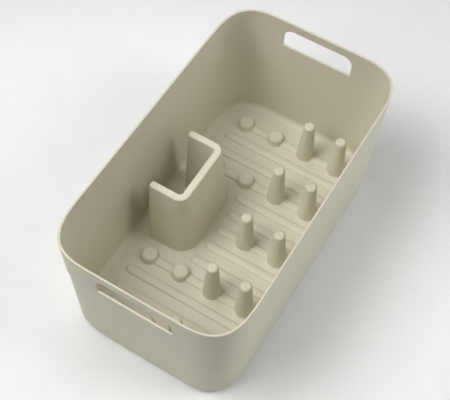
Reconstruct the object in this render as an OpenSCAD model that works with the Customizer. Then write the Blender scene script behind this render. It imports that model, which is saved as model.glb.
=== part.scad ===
// Deep drying tub for dishes: a drafted tub with two hand slots, a ribbed floor with
// plate pegs and low rest studs, and a U-shaped cutlery holder by one long wall.
// X runs across the tub, Y along it and Z up. The origin is on the worktop, under the
// middle of the tub. Row 1 is the one nearest the back end wall, at +Y.

/* [Tub] */
// Width across the rim
tub_w = 200; // [190:1:240]
// Length across the rim
tub_l = 356; // [352:1:420]
// Height from the underside of the tub to its rim
tub_h = 162.5; // [155:0.5:200]
// Thickness of the wall at the rim
wall = 2.4; // [1.8:0.1:3]
// Thickness of the floor
floor_t = 2; // [1.8:0.1:3.5]
// How far a corner's curve runs along an end wall
corner_run_x = 57; // [50:0.5:60]
// How far it runs along a long wall
corner_run_y = 66; // [50:0.5:68]
// Squareness of the corner's curve, where 2 is an ellipse
corner_power = 3.3; // [2.5:0.1:4]
// How far a long wall leans in from rim to base
draft_x = 3.1; // [0:0.1:5]
// How far an end wall leans in from rim to base
draft_y = 3.9; // [0:0.1:5]
// Radius of the outer edge under the walls
base_r = 9; // [6:0.5:9.5]
// Radius of the cove between walls and floor, inside
cove_r = 7; // [6:0.5:8]
// Height of the shallow step round the outside
step_z = 113; // [90:1:120]
// Depth of that step
step_d = 0.8; // [0.3:0.1:1]

/* [Hand slots] */
// Length of a hand slot
slot_w = 82; // [70:0.5:84]
// Height of a hand slot
slot_h = 25; // [20:0.5:27]
// Height of the slot's lower edge above the underside of the tub
slot_z = 126; // [118:0.5:130]
// Radius of the slot's upper corners
slot_r = 11; // [4:0.5:16]

/* [Floor pattern] */
// Distance between the columns of pegs and studs
column_pitch = 39.9; // [38:0.1:41]
// Distance between ribs, a third of the distance between rows
rib_pitch = 23.25; // [23:0.05:23.6]
// Width of a rib at the floor
rib_w = 11; // [8:0.5:11]
// Height of a rib
rib_h = 3; // [1.5:0.1:3.2]
// Distance from the middle of the tub to the end of a long rib
rib_reach = 75; // [65:1:76]

/* [Pegs and studs] */
// Height of a plate peg above the floor
peg_h = 58; // [40:0.5:65]
// Radius of a peg or stud just above its foot
stem_r = 10.4; // [9.6:0.1:10.6]
// Radius at the top of a peg, before its rounding
peg_top_r = 6.2; // [5.8:0.1:8]
// Height of a rest stud above the floor
stud_h = 9; // [7:0.1:11]
// Radius at the top of a stud, before its rounding
stud_top_r = 9.2; // [8:0.1:9.5]

/* [Cutlery holder] */
// Height of the holder above the floor
holder_h = 96; // [70:0.5:100]
// Distance from the middle of the tub to the middle of the holder's front wall
holder_x = 37; // [36:0.5:38]
// Distance from the middle of the holder to the middle of each arm
holder_y = 37.5; // [37:0.5:38.5]
// Thickness of the holder's hollow wall at its top
holder_top_w = 8; // [7:0.1:9]
// Thickness of the holder's hollow wall at its base
holder_base_w = 24; // [18:0.5:24]
// Distance from the middle of the tub to the ends of the arms, at the top
arm_reach = 76; // [72:0.5:78]

/* [Feet] */
// Radius of a rubber foot
foot_r = 6; // [5:0.5:6]
// How far a foot stands proud of the underside
foot_h = 1.5; // [1:0.1:3]
// Distance from the middle of the tub to a foot, across
foot_x = 72.5; // [72:0.5:73]
// Distance from the middle of the tub to a foot, along
foot_y = 149; // [148.5:0.5:149.5]

/* [Hidden] */
$fn = 48;
CORNER_STEPS = 14;
ROUND_STEPS = 5;
OVER = 1;                        // how far a cutter passes through a face
shell = 2.2;                     // wall of the hollow pegs, studs and holder
stem_foot = 1.1;                 // fillet round the foot of a peg or stud
peg_round = 3;
stud_round = 3;
rib_side = 2.5;                  // how far a rib's sides lean in
foot_recess = 0.8;
foot_gap = 0.2;                  // side clearance of a foot in its recess
holder_corner = 7.6;             // corner radius of the middle of the holder's wall
holder_fillet = 1.5;             // fillet round the foot of the holder
holder_round = 1.8;              // rounding of the holder's top edges
arm_draft = 2.1;                 // how far an arm's end leans out towards its base
arm_end_r = 7;                   // corner radius of an arm's end at its base
arm_top_r = 3.7;                 // corner radius of an arm's end at its top
inner_corner_min = 1.5;          // least radius of the holder's inner corners
short_rib_near = 16.5;           // reach of the ribs beside the holder's front wall
short_rib_far = 20.3;            // reach of the ribs beside the holder's corners
holder_rib_ends = [-75, -52];

row_pitch = 3 * rib_pitch;
rows = [1:5];
peg_columns = [["inner", 0.5 * column_pitch], ["outer", 1.5 * column_pitch]];
stud_columns = [["inner", -0.5 * column_pitch], ["outer", -1.5 * column_pitch]];
stud_rows = [1, 2, 4, 5];        // the holder takes the place of row 3's studs
feet = [["foot_back_left", -1, 1], ["foot_back_right", 1, 1],
        ["foot_front_left", -1, -1], ["foot_front_right", 1, -1]];

// Y of a row of pegs, and of a rib counted from the middle of the tub.
function row_y(row) = (3 - row) * row_pitch;
function rib_y(place) = place * rib_pitch;
// Ribs between the rows, from the back: where each lies, and where it starts.
drain_ribs = [for (place = [5, 4, 2, 1, -1, -2, -4, -5])
    [place, abs(place) == 1 ? -short_rib_near : abs(place) == 2 ? -short_rib_far : -rib_reach]];

function peg_name(row, column) = str("plate_peg_row", row, "_", column);
function stud_name(row, column) = str("rest_stud_row", row, "_", column);
function drain_rib_name(i) = str("drain_rib_", i + 1);
function row_rib_name(row) = str("row_rib_", row);
function holder_rib_name(i) = str("holder_rib_", i + 1);

sand = "#b9b19a";
rubber = "#8f8978";

// A solid between stacked rings of points. Each ring has the same even number of points,
// and is closed off by strips between its first half and its second.
module loft(rings) {
    n = len(rings[0]);
    last = (len(rings) - 1) * n;
    sides = [for (k = [0:len(rings) - 2], i = [0:n - 1])
        let (j = (i + 1) % n, low = k * n, high = low + n)
        each [[low + i, high + i, high + j], [low + i, high + j, low + j]]];
    bottom = [for (i = [0:n / 2 - 2]) [i, i + 1, n - 2 - i, n - 1 - i]];
    top = [for (face = bottom) [for (k = [3:-1:0]) last + face[k]]];
    polyhedron([for (ring = rings) each ring], concat(bottom, sides, top));
}

// One quarter of the tub's outline: a corner curve that leaves both sides smoothly.
function corner(run_x, run_y) = [for (i = [0:CORNER_STEPS])
    let (t = 90 * i / CORNER_STEPS)
    [run_x * pow(cos(t), 2 / corner_power), run_y * pow(sin(t), 2 / corner_power)]];

// The tub's outline at height z, moved in from its outer face by inset.
function tub_ring(z, inset) =
    let (lean = 1 - z / tub_h,
         a = tub_w / 2 - draft_x * lean - inset,
         b = tub_l / 2 - draft_y * lean - inset,
         run_x = corner_run_x - inset,
         run_y = corner_run_y - inset,
         quarter = [for (p = corner(run_x, run_y)) [a - run_x + p[0], b - run_y + p[1]]],
         n = len(quarter) - 1)
    concat(
        [for (i = [0:n]) [quarter[i][0], quarter[i][1], z]],
        [for (i = [n:-1:0]) [-quarter[i][0], quarter[i][1], z]],
        [for (i = [0:n]) [-quarter[i][0], -quarter[i][1], z]],
        [for (i = [n:-1:0]) [quarter[i][0], -quarter[i][1], z]]);

// Up the outside, over the rounded rim and down the inside to the floor.
function tub_rings() =
    let (lip = wall / 2)
    concat(
        [for (i = [0:ROUND_STEPS]) let (t = 90 * i / ROUND_STEPS)
            tub_ring(base_r * (1 - cos(t)), step_d + base_r * (1 - sin(t)))],
        [tub_ring(step_z - step_d, step_d), tub_ring(step_z, 0)],
        [for (i = [0:ROUND_STEPS]) let (t = 180 * i / ROUND_STEPS)
            tub_ring(tub_h - lip + lip * sin(t), lip - lip * cos(t))],
        [for (i = [0:ROUND_STEPS]) let (t = 90 * i / ROUND_STEPS)
            tub_ring(floor_t + cove_r * (1 - sin(t)), wall + cove_r * (1 - cos(t)))]);

// A hand slot's outline: square lower corners and rounded upper ones.
module slot_outline() {
    translate([-slot_w / 2, 0])
        square([slot_w, slot_h - slot_r]);
    translate([slot_r - slot_w / 2, 0])
        square([slot_w - 2 * slot_r, slot_h]);
    for (side = [-1, 1])
        translate([side * (slot_w / 2 - slot_r), slot_h - slot_r])
            circle(slot_r);
}

// A hollow stem's outer outline, from its foot fillet to its rounded top.
function stem_outline(h, top_r, round_r) = concat(
    [[0, 0]],
    [for (i = [0:ROUND_STEPS]) let (t = 90 * i / ROUND_STEPS)
        [stem_r + stem_foot * (1 - sin(t)), stem_foot * (1 - cos(t))]],
    [for (i = [0:ROUND_STEPS]) let (t = 90 * i / ROUND_STEPS)
        [top_r - round_r + round_r * cos(t), h - round_r + round_r * sin(t)]],
    [[0, h]]);

// A peg or stud: a drafted round stem, hollow from below.
module stem(h, top_r, round_r) {
    bore_r = stem_r - shell;
    tip_r = top_r - shell;
    difference() {
        rotate_extrude()
            polygon(stem_outline(h, top_r, round_r));
        rotate_extrude()
            polygon([[0, -OVER], [bore_r, -OVER], [bore_r, 0], [tip_r, h - shell], [0, h - shell]]);
    }
}

// Places the children on the floor at x, y.
module on_floor(x, y) {
    translate([x, y, foot_h + floor_t])
        children();
}

// The holder's U, with its wall w thick, its arms' ends at -x_end and their corners r_end.
function holder_ring(z, w, x_end, r_end) =
    let (half = w / 2,
         r_out = holder_corner + half,
         r_in = max(holder_corner - half, inner_corner_min),
         x_out = -holder_x + half - r_out,
         y_out = holder_y + half - r_out,
         x_in = -holder_x - half - r_in,
         y_in = holder_y - half - r_in,
         x_cap = -x_end + r_end,
         y_far = holder_y + half - r_end,
         y_near = holder_y - half + r_end)
    [for (a = [[x_cap, -y_far, r_end, 180, 270], [x_out, -y_out, r_out, 270, 360],
               [x_out, y_out, r_out, 0, 90], [x_cap, y_far, r_end, 90, 180],
               [x_cap, y_near, r_end, 180, 270], [x_in, y_in, r_in, 90, 0],
               [x_in, -y_in, r_in, 0, -90], [x_cap, -y_near, r_end, 90, 180]])
        each [for (i = [0:ROUND_STEPS]) let (t = a[3] + (a[4] - a[3]) * i / ROUND_STEPS)
            [a[0] + a[2] * cos(t), a[1] + a[2] * sin(t), z]]];

// The same ring, part way up the holder's drafted wall and moved in by inset.
function holder_level(z, inset) =
    let (up = z / holder_h)
    holder_ring(z,
        holder_base_w + (holder_top_w - holder_base_w) * up - 2 * inset,
        arm_reach + arm_draft * (1 - up) - inset,
        max(arm_end_r + (arm_top_r - arm_end_r) * up - inset, 0.5));

module holder_solid() {
    loft(concat(
        [for (i = [0:ROUND_STEPS]) let (t = 90 * i / ROUND_STEPS)
            holder_level(holder_fillet * (1 - cos(t)), -holder_fillet * (1 - sin(t)))],
        [for (i = [0:ROUND_STEPS]) let (t = 90 * i / ROUND_STEPS)
            holder_level(holder_h - holder_round * (1 - sin(t)), holder_round * (1 - cos(t)))]));
}

// The hollow inside the holder's wall, open through the floor.
module holder_cavity() {
    low = [for (p = holder_level(0, shell)) [p[0], p[1], -floor_t - OVER]];
    loft([low, holder_level(0, shell), holder_level(holder_h - shell, shell)]);
}

module tub_shell() {
    color(sand)
        difference() {
            translate([0, 0, foot_h])
                loft(tub_rings());
            translate([0, tub_l / 2 + OVER, foot_h + slot_z])
                rotate([90, 0, 0])
                    linear_extrude(tub_l + 2 * OVER)
                        slot_outline();
            for (row = rows, column = peg_columns)
                stem_hole(column[1], row_y(row));
            for (row = stud_rows, column = stud_columns)
                stem_hole(column[1], row_y(row));
            for (foot = feet)
                translate([foot[1] * foot_x, foot[2] * foot_y, foot_h - OVER])
                    cylinder(h = foot_recess + OVER, r = foot_r + foot_gap);
            on_floor(0, 0)
                holder_cavity();
        }
}

// The hole through the floor under a hollow peg or stud.
module stem_hole(x, y) {
    translate([x, y, foot_h - OVER])
        cylinder(h = floor_t + 2 * OVER, r = stem_r - shell);
}

module cutlery_holder() {
    color(sand)
        on_floor(0, 0)
            difference() {
                holder_solid();
                holder_cavity();
            }
}

module plate_peg(x, y) {
    color(sand)
        on_floor(x, y)
            stem(peg_h, peg_top_r, peg_round);
}

module rest_stud(x, y) {
    color(sand)
        on_floor(x, y)
            stem(stud_h, stud_top_r, stud_round);
}

// A straight raised rib with round ends and leaning sides, from x_from to x_to.
module rib(x_from, x_to, y) {
    hull()
        for (x = [x_from + rib_w / 2, x_to - rib_w / 2])
            on_floor(x, y)
                cylinder(h = rib_h, r1 = rib_w / 2, r2 = rib_w / 2 - rib_side, $fn = 32);
}

// The rib that joins the pegs and studs of one row, stopping at each of their feet.
module row_rib(row) {
    start = row == 3 ? -short_rib_near : -1.5 * column_pitch;
    stops = concat([for (column = peg_columns) column[1]],
        row == 3 ? [] : [for (column = stud_columns) column[1]]);
    color(sand)
        difference() {
            rib(start, 1.5 * column_pitch, row_y(row));
            for (x = stops)
                on_floor(x, row_y(row))
                    translate([0, 0, -OVER])
                        cylinder(h = rib_h + 2 * OVER, r = stem_r + stem_foot);
        }
}

module drain_rib(place, x_from) {
    color(sand)
        rib(x_from, rib_reach, rib_y(place));
}

// A short rib on the floor inside the holder, up to the foot of an arm.
module holder_rib(place) {
    color(sand)
        difference() {
            rib(holder_rib_ends[0], holder_rib_ends[1], rib_y(place));
            on_floor(0, 0)
                holder_solid();
        }
}

module foot(x, y) {
    color(rubber)
        translate([x, y, 0])
            cylinder(h = foot_h + foot_recess, r = foot_r);
}

tub_shell();
cutlery_holder();
for (row = rows, column = peg_columns)
    plate_peg(column[1], row_y(row));
for (row = stud_rows, column = stud_columns)
    rest_stud(column[1], row_y(row));
for (i = [0:len(drain_ribs) - 1])
    drain_rib(drain_ribs[i][0], drain_ribs[i][1]);
for (row = rows)
    row_rib(row);
for (i = [0:2])
    holder_rib(1 - i);
for (foot = feet)
    foot(foot[1] * foot_x, foot[2] * foot_y);
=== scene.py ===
"""The visual model of a deep drying tub for dishes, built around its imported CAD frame.

X runs across the tub, Y along it and Z up. The origin is on the worktop, under the middle of the tub.
Sizes and places are in millimetres, and become metres when a mesh is made.
"""

import math

import bmesh
import bpy
from mathutils import Matrix, Vector


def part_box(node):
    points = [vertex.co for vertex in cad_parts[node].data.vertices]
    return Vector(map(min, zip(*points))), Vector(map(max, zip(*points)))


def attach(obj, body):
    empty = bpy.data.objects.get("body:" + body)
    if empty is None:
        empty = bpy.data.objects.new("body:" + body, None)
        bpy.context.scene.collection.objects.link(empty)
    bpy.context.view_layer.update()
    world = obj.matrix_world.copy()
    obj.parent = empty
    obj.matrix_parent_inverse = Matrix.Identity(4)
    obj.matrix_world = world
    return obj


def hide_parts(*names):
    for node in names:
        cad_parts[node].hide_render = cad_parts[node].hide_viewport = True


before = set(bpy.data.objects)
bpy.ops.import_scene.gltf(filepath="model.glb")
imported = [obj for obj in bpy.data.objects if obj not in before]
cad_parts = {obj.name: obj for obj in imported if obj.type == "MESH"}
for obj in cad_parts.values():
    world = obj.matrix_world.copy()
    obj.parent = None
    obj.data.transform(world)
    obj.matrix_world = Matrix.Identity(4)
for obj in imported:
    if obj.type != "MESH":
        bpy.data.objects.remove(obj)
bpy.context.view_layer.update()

MM = 0.001


def node_box(node):
    """Lowest and highest corner of a CAD node."""
    return tuple(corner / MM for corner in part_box(node))


def node_centre(node):
    low, high = node_box(node)
    return (low + high) / 2


def nodes_like(start):
    """The CAD nodes whose names start like this, in order."""
    return sorted(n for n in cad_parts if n.startswith(start))


# ---------------------------------------------------------------- driving sizes

TUB_LOW, TUB_HIGH = node_box("tub_shell")
HALF_W, HALF_L = TUB_HIGH.x, TUB_HIGH.y
UNDERSIDE = TUB_LOW.z
TUB_H = TUB_HIGH.z - UNDERSIDE
WALL = 2.4
FLOOR_T = 2
FLOOR = UNDERSIDE + FLOOR_T
CORNER_RUN_X = 57        # how far a corner's curve runs along an end wall
CORNER_RUN_Y = 66        # and along a long wall
CORNER_POWER = 3.3       # 2 would be an ellipse
DRAFT_X, DRAFT_Y = 3.1, 3.9
BASE_R = 9
COVE_R = 7
STEP_Z, STEP_D = 113, 0.8
RIM_Z = 160.5            # last level of faces below the rounded rim
OUTER_ROWS = (12, 40, 76, 106)
INNER_ROWS = (100, 60, 25, 9)
FLOOR_MARGIN = 3         # flat strip of floor beside the cove

SLOT_W, SLOT_H = 82, 25
SLOT_Z = 126
SLOT_R, SLOT_LOW_R = 11, 1.2
SLOT_EDGE = 0.7          # rounding of a slot's edges
SLOT_BORDER = 0.6        # flat strip that keeps that rounding out of the wall's shading
PATCH_X = 47             # half the width of the patch of end wall round a slot
PATCH_Z = (118, 158.5)

STEM_R, STEM_FOOT = 10.4, 1.1
SHELL = 2.2              # wall of the hollow pegs, studs and holder
PEG_TOP_R, PEG_ROUND = 6.2, 3
STUD_TOP_R, STUD_ROUND = 9.2, 3
DIMPLE_R, DIMPLE_D = 2.2, 0.2    # mark left by the mould's ejector on each top
DIMPLE_EDGE = 0.5        # how far its edge slopes in
CENTRE_R = 0.4           # innermost ring of faces on each top
SEAT = 0.1               # how much a hollow piece's mouth is wider than the hole in the floor

RIB_W, RIB_H = 11, 3
RIB_ARCH = (12, 78)      # where the arch of a rib's section starts and ends, in degrees
RIB_FOOT = 0.3
RIB_SINK = 9             # a row rib's end lies this far from the middle of a peg or stud

HOLDER_H = node_box("cutlery_holder")[1].z - FLOOR
HOLDER_X, HOLDER_Y = 37, 37.5
HOLDER_TOP_W, HOLDER_BASE_W = 8, 24
HOLDER_CORNER, HOLDER_FOOT, HOLDER_ROUND = 7.6, 1.5, 1.8
ARM_REACH, ARM_DRAFT = 76, 2.1
ARM_END_R, ARM_TOP_R = 7, 3.7
INNER_CORNER_MIN = 1.5

FOOT_GAP, FOOT_ROUND = 0.2, 0.4
SINK = 1                 # how far a piece on the floor reaches into it
SKIRT = 0.3              # flat margin round the foot of such a piece
LIFT = 0.02              # height of that margin

CORNER_STEPS = 28        # faces round one corner of the tub
SIDE_COLUMNS = 24        # faces along a long wall
END_COLUMNS = 14         # faces over a slot's patch
SLOT_ROWS = 7            # faces beside it
STEM_SIDES = 72
ROUND_STEPS = 8

STEMS = {"plate_peg": (PEG_TOP_R, PEG_ROUND), "rest_stud": (STUD_TOP_R, STUD_ROUND)}
FEET = nodes_like("foot_")


def arc(steps, start=0.0, end=90.0):
    """Evenly spaced angles from start to end. They are given in degrees and come back in radians."""
    return [math.radians(start + (end - start) * i / steps) for i in range(steps + 1)]


# ---------------------------------------------------------------- pieces

def join(bm, lower, upper, skip=()):
    """Faces between two closed loops of vertices."""
    for i in range(len(lower)):
        if i not in skip:
            j = (i + 1) % len(lower)
            bm.faces.new((lower[i], lower[j], upper[j], upper[i]))


def cap(bm, loop):
    """Closes a loop whose first half mirrors its second half."""
    n = len(loop)
    for i in range(n // 2 - 1):
        bm.faces.new((loop[i], loop[i + 1], loop[n - 2 - i], loop[n - 1 - i]))


def add_loft(bm, rings):
    """A closed skin over a row of rings of points."""
    loops = [[bm.verts.new(p) for p in ring] for ring in rings]
    for lower, upper in zip(loops, loops[1:]):
        join(bm, lower, upper)
    cap(bm, loops[0])
    cap(bm, loops[-1])


def make_piece(bm, material, node):
    """Turns a mesh in millimetres into a smooth piece that rides on the tub and stands for a CAD node."""
    bmesh.ops.scale(bm, vec=(MM, MM, MM), verts=bm.verts)
    bmesh.ops.recalc_face_normals(bm, faces=bm.faces)
    mesh = bpy.data.meshes.new(node + "_detail")
    bm.to_mesh(mesh)
    bm.free()
    mesh.polygons.foreach_set("use_smooth", [True] * len(mesh.polygons))
    mesh.set_sharp_from_angle(angle=math.radians(50))
    mesh.materials.append(material)
    piece = bpy.data.objects.new(mesh.name, mesh)
    bpy.context.scene.collection.objects.link(piece)
    normals = piece.modifiers.new("flat faces keep their normals", "WEIGHTED_NORMAL")
    normals.keep_sharp = True
    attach(piece, "root")
    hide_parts(node)
    return piece


def circle(x, y, z, r):
    return [(x + r * math.cos(t), y + r * math.sin(t), z) for t in arc(STEM_SIDES, 0, 360)[:-1]]


# ---------------------------------------------------------------- tub

def tub_sides(z, inset):
    """Half the tub's width and length at height z above its underside, and its corners' runs."""
    lean = 1 - z / TUB_H
    return (HALF_W - DRAFT_X * lean - inset, HALF_L - DRAFT_Y * lean - inset,
            CORNER_RUN_X - inset, CORNER_RUN_Y - inset)


def other_axis(s):
    """One coordinate of a corner's curve from the other, both as shares of its run."""
    return (1 - s ** CORNER_POWER) ** (1 / CORNER_POWER)


def end_y(x, z, inset):
    """Y of the back end wall, moved in from its outer face by inset."""
    a, b, run_x, run_y = tub_sides(z, inset)
    return b - run_y + run_y * other_axis(max(abs(x) - (a - run_x), 0) / run_x)


def tub_ring(z, inset):
    """The tub's outline at height z, moved in from its outer face by inset."""
    a, b, run_x, run_y = tub_sides(z, inset)
    half = CORNER_STEPS // 2
    middle = 0.5 ** (1 / CORNER_POWER)
    last = (PATCH_X - (a - run_x)) / run_x
    side = [(a, (b - run_y) * 2 * i / SIDE_COLUMNS) for i in range(SIDE_COLUMNS // 2)]
    near = [(other_axis(middle * i / half), middle * i / half) for i in range(half)]
    far = [middle + (last - middle) * i / half for i in range(half)]
    curve = near + [(s, other_axis(s)) for s in far]
    end = [PATCH_X * (1 - 2 * i / END_COLUMNS) for i in range(END_COLUMNS // 2 + 1)]
    quarter = (side + [(a - run_x + run_x * px, b - run_y + run_y * py) for px, py in curve]
               + [(px, end_y(px, z, inset)) for px in end])
    back = quarter + [(-px, py) for px, py in reversed(quarter[:-1])]
    front = [(px, -py) for px, py in reversed(back[1:-1])]
    return [(px, py, UNDERSIDE + z) for px, py in back + front]


def patch_levels(inset):
    """The rows of faces beside a slot, as heights and insets."""
    low, high = PATCH_Z
    return [(low + (high - low) * i / SLOT_ROWS, inset) for i in range(SLOT_ROWS + 1)]


def outer_levels():
    """Up the outside, from the edge of the underside to the rim."""
    base = [(BASE_R * (1 - math.cos(t)), STEP_D + BASE_R * (1 - math.sin(t))) for t in arc(ROUND_STEPS)]
    wall = [(z, STEP_D) for z in OUTER_ROWS]
    step = [(STEP_Z - STEP_D * (1 - i / 3), STEP_D * (1 + math.cos(t)) / 2)
            for i, t in enumerate(arc(6, 0, 180))]
    return base + wall + step + patch_levels(0) + [(RIM_Z, 0)]


def lip_levels():
    """Over the rounded rim."""
    lip = WALL / 2
    return [(TUB_H - lip + lip * math.sin(t), lip - lip * math.cos(t)) for t in arc(12, 0, 180)]


def inner_levels():
    """Down the inside, from the rim to the floor."""
    wall = [(z, WALL) for z in INNER_ROWS]
    cove = [(FLOOR_T + COVE_R * (1 - math.sin(t)), WALL + COVE_R * (1 - math.cos(t)))
            for t in arc(ROUND_STEPS)]
    edge = (FLOOR_T, WALL + COVE_R + FLOOR_MARGIN)
    return [(RIM_Z, WALL)] + patch_levels(WALL)[::-1] + wall + cove + [edge]


def slot_outline(grow):
    """A hand slot's outline in X and Z, widened by grow, from the middle of its lower left corner."""
    half = SLOT_W / 2
    top = SLOT_Z + SLOT_H

    def bend(cx, cz, r, start, end, steps):
        reach = r + grow
        return [(cx + reach * math.cos(t), cz + reach * math.sin(t)) for t in arc(steps, start, end)]

    def between(p, q, steps):
        return [(p[0] + (q[0] - p[0]) * i / steps, p[1] + (q[1] - p[1]) * i / steps) for i in range(1, steps)]

    turn = SLOT_ROWS - 2
    low_x, low_z = half - SLOT_LOW_R, SLOT_Z + SLOT_LOW_R
    high_x, high_z = half - SLOT_R, top - SLOT_R
    start = bend(-low_x, low_z, SLOT_LOW_R, 225, 270, 1)
    low_right = bend(low_x, low_z, SLOT_LOW_R, 270, 360, 2)
    high_right = bend(high_x, high_z, SLOT_R, 0, 90, 2 * turn)
    high_left = bend(-high_x, high_z, SLOT_R, 90, 180, 2 * turn)
    low_left = bend(-low_x, low_z, SLOT_LOW_R, 180, 225, 1)
    return (start + between(start[-1], low_right[0], END_COLUMNS - 2) + low_right + high_right
            + between(high_right[-1], high_left[0], END_COLUMNS - 2 * turn) + high_left + low_left[:-1])


def slot_rings(side):
    """Rings through the end wall, at the back where side is 1 and at the front where it is -1."""
    edge = [(SLOT_EDGE * (1 - math.sin(t)), SLOT_EDGE * (1 - math.cos(t))) for t in arc(6)]
    half = [(SLOT_EDGE + SLOT_BORDER, 0)] + edge
    return [[(px, side * end_y(px, pz, depth), UNDERSIDE + pz) for px, pz in slot_outline(grow)]
            for grow, depth in half + [(grow, WALL - depth) for grow, depth in reversed(half)]]


def add_walls(bm):
    """The tub's walls, with their hand slots. Returns the loops round the underside and the floor."""
    outer, lip, inner = outer_levels(), lip_levels(), inner_levels()
    grid = [[bm.verts.new(p) for p in tub_ring(z, inset)] for z, inset in outer + lip + inner]
    quarter = len(grid[0]) // 4
    first = {1: quarter - END_COLUMNS // 2, -1: 3 * quarter - END_COLUMNS // 2}
    patches = {column + i for column in first.values() for i in range(END_COLUMNS)}
    outside = [len(outer) - 2 - SLOT_ROWS + i for i in range(SLOT_ROWS + 1)]
    inside = [len(outer) + len(lip) + 1 + SLOT_ROWS - i for i in range(SLOT_ROWS + 1)]
    cut = outside[:-1] + inside[1:]
    for k in range(len(grid) - 1):
        join(bm, grid[k], grid[k + 1], patches if k in cut else ())

    for side, column in first.items():
        columns = [column + i for i in range(END_COLUMNS + 1)][::-side]
        borders = [[grid[rows[0]][c] for c in columns] + [grid[r][columns[-1]] for r in rows[1:-1]]
                   + [grid[rows[-1]][c] for c in columns[::-1]] + [grid[r][columns[0]] for r in rows[-2:0:-1]]
                   for rows in (outside, inside)]
        slot = [[bm.verts.new(p) for p in ring] for ring in slot_rings(side)]
        chain = [borders[0]] + slot + [borders[1]]
        for lower, upper in zip(chain, chain[1:]):
            join(bm, lower, upper)
    return grid[0], grid[-1]


def fill_around(bm, outline, holes):
    """Fills the flat space inside a loop of vertices and outside others."""
    edges = []
    for loop in [outline] + holes:
        for pair in zip(loop, loop[1:] + loop[:1]):
            edges.append(bm.edges.get(pair) or bm.edges.new(pair))
    bmesh.ops.triangle_fill(bm, edges=edges, use_beauty=True, normal=(0, 0, 1))


def add_tub_floor(bm, underside, floor):
    """The floor, with the holes under the hollow stems and holder, and the recesses of the feet."""
    stems = [node_centre(node) for start in STEMS for node in nodes_like(start)]
    below, above = [[[bm.verts.new(p) for p in hole]
                     for hole in [circle(c.x, c.y, z, STEM_R - SHELL) for c in stems]
                     + [[(px, py, z) for px, py in holder_outline(0, SHELL)]]]
                    for z in (UNDERSIDE, FLOOR)]
    for low, high in zip(below, above):
        join(bm, low, high)
    for node in FEET:
        c = node_centre(node)
        roof = node_box(node)[1].z
        mouth, top = [[bm.verts.new(p) for p in circle(c.x, c.y, z, node_radius(node) + FOOT_GAP)]
                      for z in (UNDERSIDE, roof)]
        join(bm, mouth, top)
        cap(bm, top)
        below.append(mouth)
    fill_around(bm, underside, below)
    fill_around(bm, floor, above)


def node_radius(node):
    low, high = node_box(node)
    return (high.x - low.x) / 2


def tub(material):
    bm = bmesh.new()
    add_tub_floor(bm, *add_walls(bm))
    return make_piece(bm, material, "tub_shell")


# ---------------------------------------------------------------- what stands on the floor

def on_floor_foot(fillet):
    """Heights and outsets of a foot that blends into the floor, from its buried edge upwards."""
    return ([(-SINK, fillet + SKIRT), (LIFT, fillet + SKIRT)]
            + [(LIFT + fillet * (1 - math.cos(t)), fillet * (1 - math.sin(t))) for t in arc(ROUND_STEPS)])


def stem(node, material, top_r, round_r):
    """A peg or stud: a drafted stem with a filleted foot and a rounded top, hollow from below."""
    c = node_centre(node)
    height = node_box(node)[1].z - FLOOR
    mouth = STEM_R - SHELL
    inside = [(CENTRE_R, height - SHELL), (top_r - SHELL, height - SHELL), (mouth, 0),
              (mouth + SEAT, -SEAT), (mouth + SEAT, -SINK)]
    foot = [(STEM_R + out, up) for up, out in on_floor_foot(STEM_FOOT)]
    top = [(top_r - round_r + round_r * math.cos(t), height - round_r + round_r * math.sin(t))
           for t in arc(ROUND_STEPS)]
    dimple = [(DIMPLE_R, height), (DIMPLE_R - DIMPLE_EDGE, height - DIMPLE_D),
              (CENTRE_R, height - DIMPLE_D)]
    bm = bmesh.new()
    add_loft(bm, [circle(c.x, c.y, FLOOR + h, r) for r, h in inside + foot + top + dimple])
    return make_piece(bm, material, node)


def holder_outline(h, inset):
    """The holder's U at height h above the floor, moved in from its outer face by inset."""
    up = h / HOLDER_H
    half = (HOLDER_BASE_W + (HOLDER_TOP_W - HOLDER_BASE_W) * up) / 2 - inset
    reach = ARM_REACH + ARM_DRAFT * (1 - up) - inset
    r_end = max(ARM_END_R + (ARM_TOP_R - ARM_END_R) * up - inset, 0.5)
    r_out = HOLDER_CORNER + half
    r_in = max(HOLDER_CORNER - half, INNER_CORNER_MIN)
    x_out, y_out = half - HOLDER_X - r_out, HOLDER_Y + half - r_out
    x_in, y_in = -half - HOLDER_X - r_in, HOLDER_Y - half - r_in
    x_cap, y_far, y_near = r_end - reach, HOLDER_Y + half - r_end, HOLDER_Y - half + r_end
    bends = [(x_cap, -y_far, r_end, 180, 270), (x_out, -y_out, r_out, 270, 360),
             (x_out, y_out, r_out, 0, 90), (x_cap, y_far, r_end, 90, 180),
             (x_cap, y_near, r_end, 180, 270), (x_in, y_in, r_in, 90, 0),
             (x_in, -y_in, r_in, 0, -90), (x_cap, -y_near, r_end, 90, 180)]
    return [(cx + r * math.cos(t), cy + r * math.sin(t))
            for cx, cy, r, start, end in bends for t in arc(12, start, end)]


def cutlery_holder(material):
    """The U-shaped hollow wall that keeps cutlery upright."""
    top = HOLDER_H - HOLDER_ROUND
    levels = ([(HOLDER_H - SHELL, SHELL), (0, SHELL), (-SEAT, SHELL - SEAT), (-SINK, SHELL - SEAT)]
              + [(up, -out) for up, out in on_floor_foot(HOLDER_FOOT)]
              + [(HOLDER_H * i / 6, 0) for i in range(1, 6)]
              + [(top + HOLDER_ROUND * math.sin(t), HOLDER_ROUND * (1 - math.cos(t)))
                 for t in arc(ROUND_STEPS)])
    bm = bmesh.new()
    add_loft(bm, [[(px, py, FLOOR + h) for px, py in holder_outline(h, inset)] for h, inset in levels])
    return make_piece(bm, material, "cutlery_holder")


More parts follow.
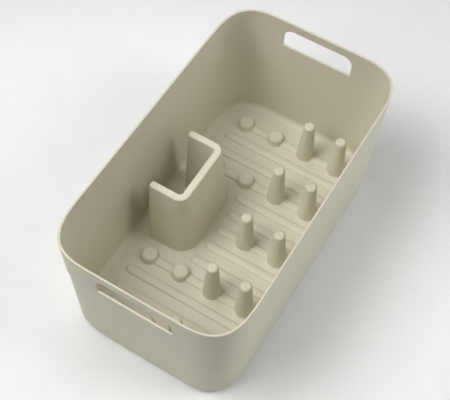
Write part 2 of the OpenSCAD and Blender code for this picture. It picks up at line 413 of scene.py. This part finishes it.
def rib_outline(x_from, x_to, y, grow, round_ends):
    """A rib's outline, widened by grow. An end that isn't round is cut square."""
    half = RIB_W / 2
    turn = arc(12, -90, 90)
    points = []
    for side, x, is_round in ((1, x_to, round_ends[1]), (-1, x_from, round_ends[0])):
        for t in turn:
            across = (half + grow) * (math.cos(t) if is_round else 0)
            middle = x - side * half if is_round else x
            points.append((middle + side * across, y + side * (half + grow) * math.sin(t)))
    return points


def add_rib(bm, x_from, x_to, y, round_ends=(True, True)):
    """A raised rib with an arched section and a small fillet at its foot."""
    foot = [(LIFT + RIB_FOOT * (1 - math.cos(t)), RIB_FOOT * (1 - math.sin(t))) for t in arc(4)]
    full = RIB_H / math.sin(math.radians(RIB_ARCH[1]))
    crest = [(full * math.sin(t), -RIB_W / 2 * (1 - math.cos(t))) for t in arc(10, *RIB_ARCH)]
    levels = [(-SINK, RIB_FOOT + SKIRT), (LIFT, RIB_FOOT + SKIRT)] + foot + crest
    add_loft(bm, [[(px, py, FLOOR + h) for px, py in rib_outline(x_from, x_to, y, grow, round_ends)]
                  for h, grow in levels])


def plain_rib(node, material):
    """A drain rib or a rib inside the holder, with two round ends."""
    low, high = node_box(node)
    bm = bmesh.new()
    add_rib(bm, low.x, high.x, (low.y + high.y) / 2)
    return make_piece(bm, material, node)


def row_rib(node, material):
    """The rib between the pegs and studs of one row, in lengths that end inside their feet."""
    y = node_centre(node).y
    stops = sorted(node_centre(n).x for start in STEMS for n in nodes_like(start)
                   if abs(node_centre(n).y - y) < STEM_R)
    bm = bmesh.new()
    start = node_box(node)[0].x
    if start < stops[0] - STEM_R - STEM_FOOT - RIB_W / 2:
        add_rib(bm, start, stops[0] - RIB_SINK, y, (True, False))
    for left, right in zip(stops, stops[1:]):
        add_rib(bm, left + RIB_SINK, right - RIB_SINK, y, (False, False))
    return make_piece(bm, material, node)


def foot(node, material):
    """A soft round pad under the tub."""
    c = node_centre(node)
    low, high = node_box(node)
    edge = [(node_radius(node) - FOOT_ROUND * (1 - math.sin(t)), low.z + FOOT_ROUND * (1 - math.cos(t)))
            for t in arc(5)]
    bm = bmesh.new()
    add_loft(bm, [circle(c.x, c.y, z, r) for r, z in edge + [(node_radius(node), high.z)]])
    return make_piece(bm, material, node)


# ---------------------------------------------------------------- materials

def new_material(name):
    """A material with its principled shader and a maker of linked nodes."""
    material = bpy.data.materials.new(name)
    material.use_nodes = True
    tree = material.node_tree
    shader = tree.nodes["Principled BSDF"]

    def node(kind, inputs=None, **settings):
        made = tree.nodes.new("ShaderNode" + kind)
        for key, value in settings.items():
            setattr(made, key, value)
        for key, value in (inputs or {}).items():
            if isinstance(value, bpy.types.NodeSocket):
                tree.links.new(value, made.inputs[key])
            else:
                made.inputs[key].default_value = value
        return made

    return material, shader, node, tree.links.new


def grain(node, place, size, detail=2.0, roughness=0.5):
    """Noise with features of a size in millimetres."""
    return node("TexNoise", {"Vector": place, "Scale": 1 / (size * MM), "Detail": detail,
                             "Roughness": roughness}).outputs["Fac"]


def blend_colour(node, fac, first, second, low=0.0, high=1.0):
    """A colour between two others, as fac goes from low to high."""
    ramp = node("ValToRGB", {"Fac": fac})
    ramp.color_ramp.elements[0].position = low
    ramp.color_ramp.elements[1].position = high
    ramp.color_ramp.elements[0].color = (*first, 1)
    ramp.color_ramp.elements[1].color = (*second, 1)
    return ramp.outputs["Color"]


SAND = Vector((0.635, 0.605, 0.483))     # the plastic's own colour


def moulded_plastic():
    """Matte moulded polypropylene with a fine spark-eroded texture and a faint unevenness of colour."""
    material, shader, node, link = new_material("sand_plastic")
    place = node("TexCoord").outputs["Object"]
    cloud = blend_colour(node, grain(node, place, 70), SAND * 0.98, SAND * 1.02, 0.3, 0.7)
    speck = blend_colour(node, grain(node, place, 0.9, 3), (0.975,) * 3, (1.02,) * 3, 0.3, 0.7)
    colour = node("Mix", {"Factor": 1.0}, data_type="RGBA", blend_type="MULTIPLY")
    link(cloud, colour.inputs["A"])
    link(speck, colour.inputs["B"])
    link(colour.outputs["Result"], shader.inputs["Base Color"])
    rough = node("MapRange", {"Value": grain(node, place, 14, 4), "From Min": 0.3, "From Max": 0.7,
                              "To Min": 0.5, "To Max": 0.6})
    link(rough.outputs["Result"], shader.inputs["Roughness"])
    flow = node("Bump", {"Height": grain(node, place, 22, 1), "Strength": 0.25, "Distance": 0.15 * MM})
    fine = node("Bump", {"Height": grain(node, place, 0.45, 2), "Strength": 0.3, "Distance": 0.04 * MM,
                         "Normal": flow.outputs["Normal"]})
    link(fine.outputs["Normal"], shader.inputs["Normal"])
    shader.inputs["IOR"].default_value = 1.49
    return material


def soft_rubber():
    """Matte rubber with a fine pitted surface."""
    material, shader, node, link = new_material("grey_rubber")
    place = node("TexCoord").outputs["Object"]
    speck = grain(node, place, 1.5, 3)
    colour = blend_colour(node, speck, (0.15, 0.14, 0.115), (0.19, 0.178, 0.145), 0.3, 0.7)
    link(colour, shader.inputs["Base Color"])
    pits = node("Bump", {"Height": grain(node, place, 0.3, 3), "Strength": 0.5, "Distance": 0.05 * MM})
    link(pits.outputs["Normal"], shader.inputs["Normal"])
    shader.inputs["Roughness"].default_value = 0.8
    return material


def pale_floor():
    """A white painted surface with a faint fine grain."""
    material, shader, node, link = new_material("white_floor")
    place = node("TexCoord").outputs["Object"]
    colour = blend_colour(node, grain(node, place, 30, 4), (0.90, 0.90, 0.90), (0.92, 0.92, 0.92), 0.3, 0.7)
    link(colour, shader.inputs["Base Color"])
    shader.inputs["Roughness"].default_value = 0.9
    shader.inputs["Specular IOR Level"].default_value = 0.1
    return material


# ---------------------------------------------------------------- stage

CAMERA_AZIMUTH, CAMERA_ELEVATION, CAMERA_ROLL = 28.59, 58.93, 2.99
CAMERA_DISTANCE = 968.9
CAMERA_AIM = Vector((-8.92, 1.86, 68.17))
CAMERA_LENS = 73.12
WORKTOP_R = 0.85         # in metres, as are the sizes of the lights
BACKDROP = (0.7, 0.7, 0.7, 1)


def add_camera():
    """The camera, which looks down along the tub from the front right."""
    azimuth, elevation = math.radians(CAMERA_AZIMUTH), math.radians(CAMERA_ELEVATION)
    back = Vector((math.sin(azimuth) * math.cos(elevation), -math.cos(azimuth) * math.cos(elevation),
                   math.sin(elevation)))
    right = (-back).cross(Vector((0, 0, 1))).normalized()
    up = back.cross(right)
    roll = Matrix.Rotation(math.radians(CAMERA_ROLL), 4, "Z")
    turn = Matrix((right, up, back)).transposed().to_4x4() @ roll
    camera = bpy.data.objects.new("camera", bpy.data.cameras.new("camera"))
    camera.data.lens = CAMERA_LENS
    camera.matrix_world = Matrix.Translation((CAMERA_AIM + back * CAMERA_DISTANCE) * MM) @ turn
    bpy.context.scene.collection.objects.link(camera)
    bpy.context.scene.camera = camera


def add_backdrop():
    """A pale grey that fills the view behind the floor and sheds no light."""
    world = bpy.data.worlds.new("backdrop")
    world.use_nodes = True
    world.node_tree.nodes["Background"].inputs["Color"].default_value = BACKDROP
    for ray in ("diffuse", "glossy", "transmission", "scatter"):
        setattr(world.cycles_visibility, ray, False)
    bpy.context.scene.world = world


def add_floor():
    mesh = bpy.data.meshes.new("worktop")
    bm = bmesh.new()
    bmesh.ops.create_circle(bm, cap_ends=True, segments=128, radius=WORKTOP_R)
    bm.to_mesh(mesh)
    bm.free()
    mesh.materials.append(pale_floor())
    floor = bpy.data.objects.new("worktop", mesh)
    bpy.context.scene.collection.objects.link(floor)


def add_softbox(name, azimuth, elevation, power, size=0.9, distance=1.6):
    """A square soft light that looks at the tub. Azimuth 0 is at the front, and 90 to the right."""
    a, e = math.radians(azimuth), math.radians(elevation)
    out = Vector((math.sin(a) * math.cos(e), -math.cos(a) * math.cos(e), math.sin(e)))
    data = bpy.data.lights.new(name, "AREA")
    data.size = size
    data.energy = power
    lamp = bpy.data.objects.new(name, data)
    lamp.location = out * distance + Vector((0, 0, TUB_H / 2 * MM))
    lamp.rotation_mode = "QUATERNION"
    lamp.rotation_quaternion = out.to_track_quat("Z", "Y")
    bpy.context.scene.collection.objects.link(lamp)


def add_lights():
    """Soft lights, the strongest from the front left and weaker ones from the right and the back."""
    add_softbox("key", 315, 50, power=9.2)
    add_softbox("high key", 330, 60, power=7.3)
    add_softbox("overhead", 300, 70, power=1.4, size=0.4, distance=0.8)
    add_softbox("back", 250, 70, power=1, size=0.4, distance=0.7)
    add_softbox("side", 105, 44, power=3.9, size=0.4)
    add_softbox("high side", 105, 56, power=2, size=0.4)
    add_softbox("low side", 120, 33, power=1.7, size=0.4)
    add_softbox("rim", 135, 12, power=7.9)


def build():
    plastic, rubber = moulded_plastic(), soft_rubber()
    tub(plastic)
    cutlery_holder(plastic)
    for start, (top_r, round_r) in STEMS.items():
        for node in nodes_like(start):
            stem(node, plastic, top_r, round_r)
    for node in nodes_like("drain_rib_") + nodes_like("holder_rib_"):
        plain_rib(node, plastic)
    for node in nodes_like("row_rib_"):
        row_rib(node, plastic)
    for node in FEET:
        foot(node, rubber)


build()
add_camera()
add_backdrop()
add_floor()
add_lights()
bpy.context.scene.view_settings.view_transform = "Standard"
